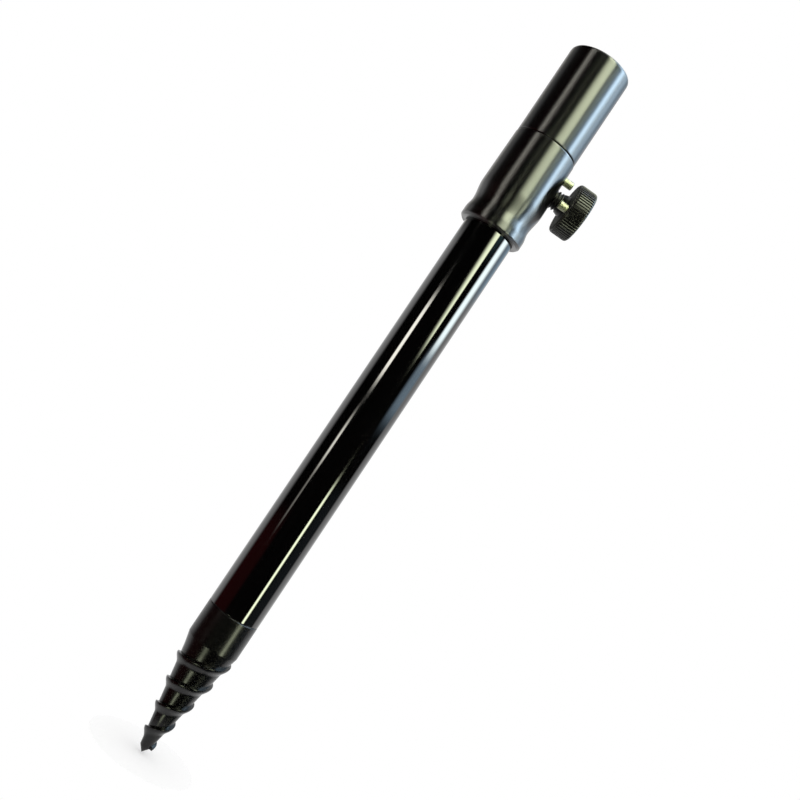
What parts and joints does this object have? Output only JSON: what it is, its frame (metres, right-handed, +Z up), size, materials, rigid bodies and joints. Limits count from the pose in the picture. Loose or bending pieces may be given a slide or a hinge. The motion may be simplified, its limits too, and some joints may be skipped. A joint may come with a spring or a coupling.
{
  "type": "bank stick",
  "caption": "Short telescopic ground stick with a tapered screw point, a collar clamped by a captive knurled thumbscrew, and a head with a threaded socket.",
  "frame": {"origin": "apex of the screw point", "axes": "+Z up the stick to the head, +X out of the collar along the thumbscrew"},
  "size_m": [0.0367, 0.0246, 0.2836],
  "materials": {
    "gloss_black": "glossy black anodised",
    "satin_black": "satin black anodised over fine turning marks",
    "knob_black": "black anodised over a straight knurl",
    "screw_black": "black oxide",
    "pale_pin": "bright plated",
    "plain_steel": "plain turned",
    "pale_plastic": "natural moulded",
    "black_rubber": "matt"
  },
  "bodies": {
    "outer": {"screw_point": "satin_black", "outer_tube": "gloss_black", "collar": "satin_black", "collar_bush": "pale_plastic", "wiper_ring": "black_rubber", "collar_stop_pin": "pale_pin"},
    "guide": {"guide_bush": "pale_plastic"},
    "inner_stage": {"inner_tube": "gloss_black", "foot_plug": "pale_plastic", "head": "satin_black", "head_insert": "plain_steel"},
    "clamp": {"clamp_pad": "pale_plastic"},
    "thumbscrew": {"thumbscrew_stud": "screw_black", "thumbscrew_knob": "knob_black", "knob_stop_pin": "pale_pin"}
  },
  "joints": [
    {"name": "stage_slide", "type": "slide", "parent": "outer", "child": "guide", "axis": [0, 0, 1], "range_m": [0, 0.138]},
    {"name": "stage_turn", "type": "hinge", "parent": "guide", "child": "inner_stage", "pos_m": [0, 0, 0.086], "axis": [0, 0, 1], "continuous": true},
    {"name": "pad_slide", "type": "slide", "parent": "outer", "child": "clamp", "axis": [1, 0, 0], "range_m": [-0.00029, 0.0008]},
    {"name": "knob_turn", "type": "hinge", "parent": "clamp", "child": "thumbscrew", "pos_m": [0.0171, 0, 0.235], "axis": [1, 0, 0], "range_deg": [-80, 225]}
  ],
  "couplings": [
    {"joint": "pad_slide", "follows": "knob_turn", "m_per_rad": 0.00020213}
  ]
}
